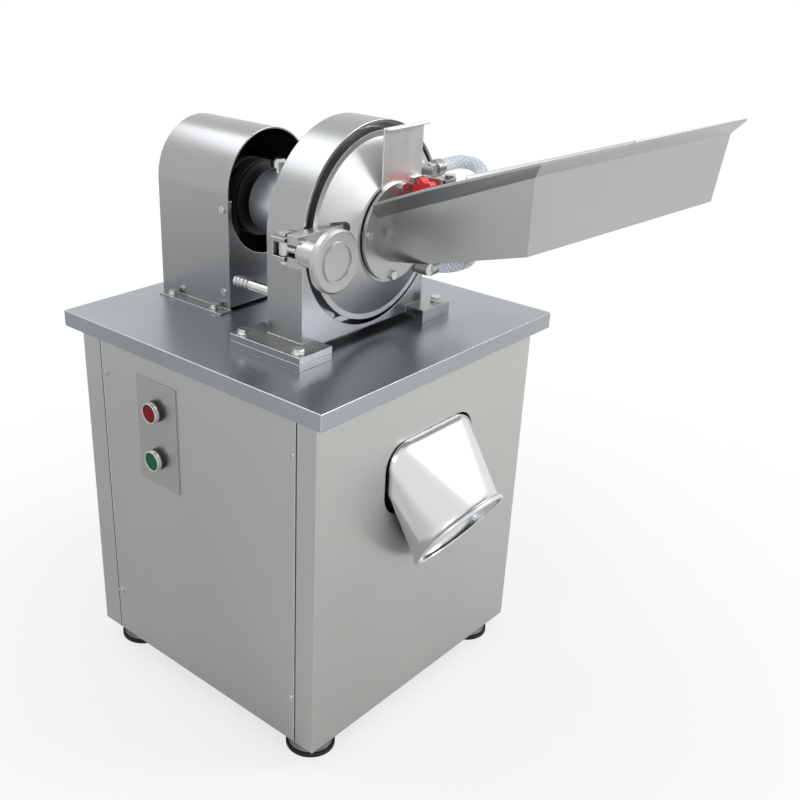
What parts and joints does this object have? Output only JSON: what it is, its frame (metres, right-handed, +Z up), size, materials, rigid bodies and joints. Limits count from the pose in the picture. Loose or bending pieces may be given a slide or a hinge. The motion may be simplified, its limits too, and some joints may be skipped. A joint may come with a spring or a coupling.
{
  "type": "lab mill",
  "caption": "Floor-standing analytical beater mill on a sheet-metal cabinet with a hinged chamber door, long feed tray, gate, clamp wheel, belt guard and round discharge spout",
  "frame": {"origin": "middle of the assembly's footprint, on the floor under the feet", "axes": "X to the right seen from the front, Y to the back along the spindle, Z up; the door and the feed tray face -Y"},
  "size_m": [0.6894, 0.611, 0.7975],
  "materials": {
    "panel_steel": "satin stainless sheet, brushed upright",
    "table_polish": "brushed stainless sheet with a bright edge",
    "mill_steel": "satin stainless plate and turned parts",
    "door_alloy": "turned bare alloy",
    "tray_steel": "satin stainless sheet",
    "bolt_steel": "zinc plated fasteners",
    "bearing_steel": "ground bearing steel",
    "dark_steel": "dark hardened steel",
    "frame_paint": "dark grey frame paint",
    "motor_paint": "blue grey motor paint",
    "black_plastic": "moulded black plastic",
    "grey_plastic": "moulded grey plastic",
    "red_plastic": "moulded red plastic",
    "green_plastic": "moulded green plastic",
    "black_rubber": "black rubber",
    "gasket_rubber": "pale silicone gasket",
    "clear_hose": "clear braided hose",
    "brass": "turned brass"
  },
  "bodies": {
    "cabinet": {"base_frame": "frame_paint", "front_panel": "panel_steel", "rear_panel": "panel_steel", "left_panel": "panel_steel", "right_panel": "panel_steel", "panel_screws": "bolt_steel", "table_top": "table_polish", "levelling_feet": "grey_plastic", "foot_pads": "black_rubber", "button_plate": "panel_steel", "button_bodies": "grey_plastic", "cable_gland": "black_plastic", "motor_plate": "frame_paint", "motor_body": "motor_paint", "motor_end_shields": "motor_paint", "motor_fan_cover": "black_plastic", "terminal_box": "motor_paint", "drive_belts": "black_rubber", "belt_guard": "table_polish", "guard_front_plate": "table_polish", "hex_bolts": "bolt_steel", "bearing_housing": "mill_steel", "bearing_caps": "dark_steel", "bearing_outer_races": "bearing_steel", "grease_cup_body": "brass", "mill_housing": "mill_steel", "riser_plates": "mill_steel", "screen_ring": "tray_steel", "grinding_insert": "dark_steel", "hinge_pin": "bolt_steel", "clamp_bracket": "mill_steel", "clamp_pin": "bolt_steel", "water_inlet_barb": "bolt_steel", "discharge_chute": "tray_steel", "discharge_spout": "tray_steel"},
    "door": {"mill_door": "door_alloy", "door_fork": "door_alloy", "door_liner": "dark_steel", "door_gasket": "gasket_rubber", "feed_flange": "tray_steel", "flange_bolts": "bolt_steel", "feed_tray": "tray_steel", "door_fittings": "grey_plastic", "water_hose": "clear_hose"},
    "gate": {"feed_gate": "tray_steel"},
    "star_knob": {"gate_knob": "red_plastic"},
    "hand_wheel": {"clamp_knob": "door_alloy"},
    "eye_bolt": {"swing_bolt": "bolt_steel"},
    "stop_button": {"stop_button_cap": "red_plastic"},
    "start_button": {"start_button_cap": "green_plastic"},
    "spindle": {"spindle_shaft": "bearing_steel", "rotor": "dark_steel", "rotor_nut": "bolt_steel", "spindle_pulley": "dark_steel", "bearing_inner_races": "bearing_steel"},
    "ball_sets": {"bearing_balls": "bearing_steel"},
    "motor_rotor": {"motor_shaft": "bolt_steel", "motor_fan": "black_plastic", "motor_pulley": "dark_steel"},
    "grease_cap": {"grease_cup_cap": "bolt_steel"}
  },
  "joints": [
    {"name": "door_hinge", "type": "hinge", "parent": "cabinet", "child": "door", "pos_m": [0.02775, -0.054, 0.668], "axis": [0, 0, 1], "range_deg": [0, 95]},
    {"name": "gate_slide", "type": "slide", "parent": "door", "child": "gate", "axis": [0, 0, -1], "range_m": [0, 0.058]},
    {"name": "star_knob_turn", "type": "hinge", "parent": "door", "child": "star_knob", "pos_m": [-0.08425, -0.0985, 0.718], "axis": [1, 0, 0], "continuous": true},
    {"name": "hand_wheel_turn", "type": "hinge", "parent": "door", "child": "hand_wheel", "pos_m": [-0.26325, -0.086, 0.6705], "axis": [0, 1, 0], "continuous": true},
    {"name": "eye_bolt_swing", "type": "hinge", "parent": "cabinet", "child": "eye_bolt", "pos_m": [-0.26325, -0.038, 0.6705], "axis": [0, 0, -1], "range_deg": [0, 90]},
    {"name": "stop_button_press", "type": "slide", "parent": "cabinet", "child": "stop_button", "axis": [1, 0, 0], "range_m": [0, 0.0035], "stiffness_N_per_m": 400, "springref_m": -0.001},
    {"name": "start_button_press", "type": "slide", "parent": "cabinet", "child": "start_button", "axis": [1, 0, 0], "range_m": [0, 0.0035], "stiffness_N_per_m": 400, "springref_m": -0.001},
    {"name": "spindle_spin", "type": "hinge", "parent": "cabinet", "child": "spindle", "pos_m": [-0.11225, 0.064, 0.668], "axis": [0, 1, 0], "continuous": true},
    {"name": "ball_sets_spin", "type": "hinge", "parent": "cabinet", "child": "ball_sets", "pos_m": [-0.11225, 0.064, 0.668], "axis": [0, 1, 0], "continuous": true},
    {"name": "motor_spin", "type": "hinge", "parent": "cabinet", "child": "motor_rotor", "pos_m": [-0.11225, 0.064, 0.258], "axis": [0, 1, 0], "continuous": true},
    {"name": "grease_cap_turn", "type": "hinge", "parent": "cabinet", "child": "grease_cap", "pos_m": [-0.11225, 0.122, 0.723], "axis": [0, 0, 1], "continuous": true}
  ],
  "couplings": [
    {"joint": "motor_spin", "follows": "spindle_spin", "ratio": 0.80952},
    {"joint": "ball_sets_spin", "follows": "spindle_spin", "ratio": 0.4023}
  ]
}
